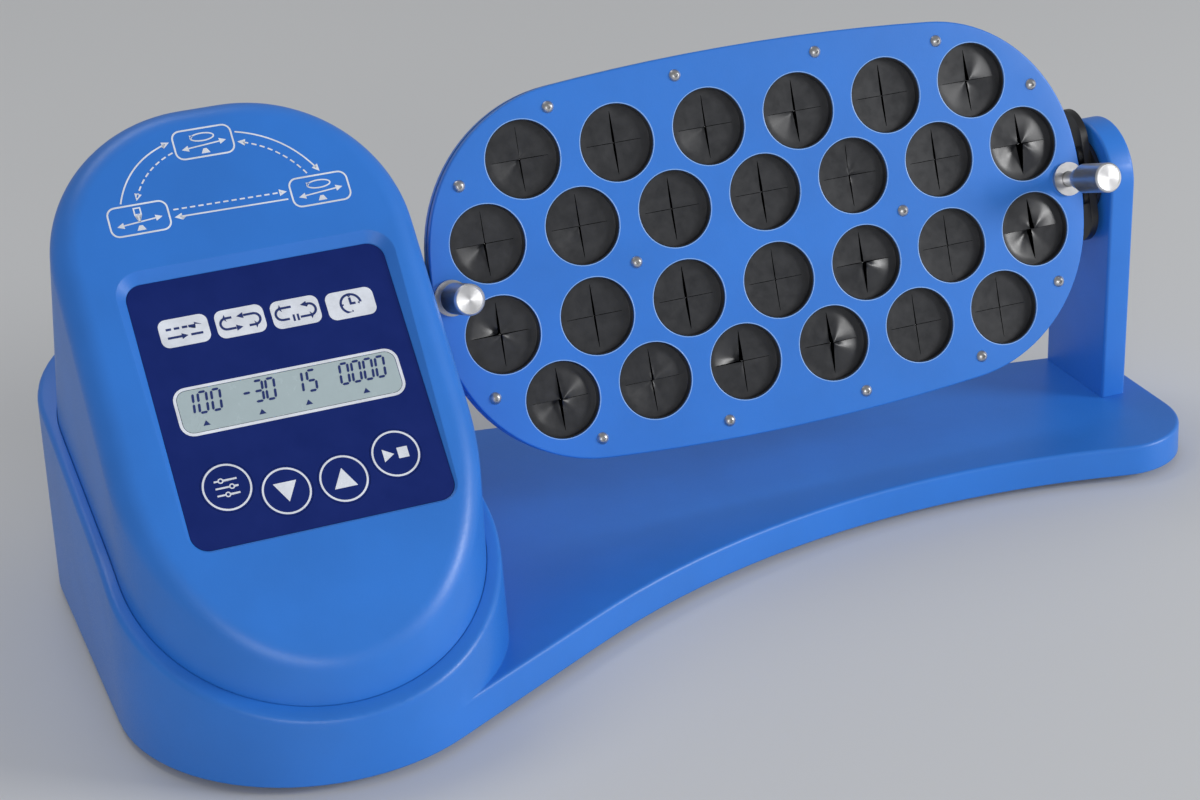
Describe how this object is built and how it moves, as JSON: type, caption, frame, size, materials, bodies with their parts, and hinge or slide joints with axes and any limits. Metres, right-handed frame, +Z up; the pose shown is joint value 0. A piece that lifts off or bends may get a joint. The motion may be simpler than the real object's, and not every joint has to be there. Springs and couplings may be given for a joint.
{
  "type": "tube rotator",
  "caption": "Bench tube rotator: a leaning platform of rubber-lined tube holes turns between a drive housing with display and keys and an end post, on one long base.",
  "frame": {"origin": "on the table, under the middle foot, which stands halfway along the base; the rotor axis runs at y 0.018, z 0.0876", "axes": "+Z up, +X along the rotor axis from the drive housing to the end post, +Y to the back"},
  "size_m": [0.365, 0.1891, 0.155],
  "materials": {
    "blue_paint": "fine-grained mid-blue powder coat",
    "blue_shell": "mid-blue, fine grain",
    "panel_navy": "dark blue printed panel film",
    "key_navy": "dark blue with pale ring and pictogram",
    "clear_window": "clear window",
    "lcd": "grey-green display with dark digits",
    "board_green": "circuit board",
    "black_plastic": "black moulded plastic",
    "black_metal": "black anodised metal",
    "steel": "stainless steel",
    "sheet_steel": "zinc-plated sheet",
    "turned_aluminium": "brushed, spun end face",
    "bearing_bronze": "sintered bronze",
    "gear_plastic": "ivory gear plastic",
    "black_rubber": "black rubber, satin sheen"
  },
  "bodies": {
    "base": {"base_body": "blue_paint", "bottom_cover": "sheet_steel", "cover_screws": "steel", "rubber_feet": "black_rubber", "upper_housing": "blue_shell", "housing_screws": "steel", "control_panel": "panel_navy", "display_window": "clear_window", "display_module": "lcd", "key_switches": "black_plastic", "control_board": "board_green", "board_screws": "steel", "drive_frame": "sheet_steel", "frame_screws": "steel", "shaft_bearings": "bearing_bronze", "drive_motor": "steel", "motor_screws": "steel", "end_post": "blue_paint", "post_bush": "bearing_bronze", "post_screws": "steel", "dc_socket": "black_plastic", "dc_socket_nut": "steel", "power_switch": "black_plastic"},
    "rotor": {"drive_shaft": "steel", "shaft_collar": "steel", "drive_gear": "gear_plastic", "drive_hub": "black_metal", "left_bracket": "black_metal", "right_bracket": "black_metal", "bracket_screws": "black_metal", "idler_hub": "black_metal", "platform_front_plate": "blue_paint", "rubber_sheet": "black_rubber", "platform_rear_plate": "blue_paint", "platform_screws": "steel", "platform_nuts": "steel", "thumb_washers": "steel"},
    "motor_rotor": {"motor_shaft": "steel", "motor_pinion": "bearing_bronze"},
    "mode_button": {"mode_key": "key_navy"},
    "down_button": {"down_key": "key_navy"},
    "up_button": {"up_key": "key_navy"},
    "start_button": {"start_key": "key_navy"},
    "rocker": {"power_rocker": "black_plastic"},
    "left_stud": {"left_thumb_stud": "steel"},
    "left_knob": {"left_thumb_head": "turned_aluminium"},
    "right_stud": {"right_thumb_stud": "steel"},
    "right_knob": {"right_thumb_head": "turned_aluminium"}
  },
  "joints": [
    {"name": "rotor_spin", "type": "hinge", "parent": "base", "child": "rotor", "pos_m": [0.0464, 0.018, 0.0876], "axis": [1, 0, 0], "continuous": true},
    {"name": "motor_spin", "type": "hinge", "parent": "base", "child": "motor_rotor", "pos_m": [-0.1, 0.018, 0.0596], "axis": [1, 0, 0], "continuous": true},
    {"name": "mode_press", "type": "slide", "parent": "base", "child": "mode_button", "axis": [0, 0.6893, -0.7245], "range_m": [0, 0.0005], "stiffness_N_per_m": 200},
    {"name": "down_press", "type": "slide", "parent": "base", "child": "down_button", "axis": [0, 0.6893, -0.7245], "range_m": [0, 0.0005], "stiffness_N_per_m": 200},
    {"name": "up_press", "type": "slide", "parent": "base", "child": "up_button", "axis": [0, 0.6893, -0.7245], "range_m": [0, 0.0005], "stiffness_N_per_m": 200},
    {"name": "start_press", "type": "slide", "parent": "base", "child": "start_button", "axis": [0, 0.6893, -0.7245], "range_m": [0, 0.0005], "stiffness_N_per_m": 200},
    {"name": "power_rock", "type": "hinge", "parent": "base", "child": "rocker", "pos_m": [-0.10103, 0.08428, 0.032], "axis": [0, 0, 1], "range_deg": [0, 16]},
    {"name": "left_screw_travel", "type": "slide", "parent": "rotor", "child": "left_stud", "axis": [0, -0.9438, 0.3305], "range_m": [0, 0.008]},
    {"name": "left_screw_turn", "type": "hinge", "parent": "left_stud", "child": "left_knob", "pos_m": [-0.0603, 0.018, 0.0876], "axis": [0, -0.9438, 0.3305], "range_deg": [0, 3600]},
    {"name": "right_screw_travel", "type": "slide", "parent": "rotor", "child": "right_stud", "axis": [0, -0.9438, 0.3305], "range_m": [-0.0062, 0.0018]},
    {"name": "right_screw_turn", "type": "hinge", "parent": "right_stud", "child": "right_knob", "pos_m": [0.1531, 0.018, 0.0876], "axis": [0, -0.9438, 0.3305], "range_deg": [-2790, 810]}
  ],
  "couplings": [
    {"joint": "motor_spin", "follows": "rotor_spin", "ratio": -3},
    {"joint": "left_screw_turn", "follows": "left_screw_travel", "rad_per_m": 7854},
    {"joint": "right_screw_turn", "follows": "right_screw_travel", "rad_per_m": 7854}
  ]
}
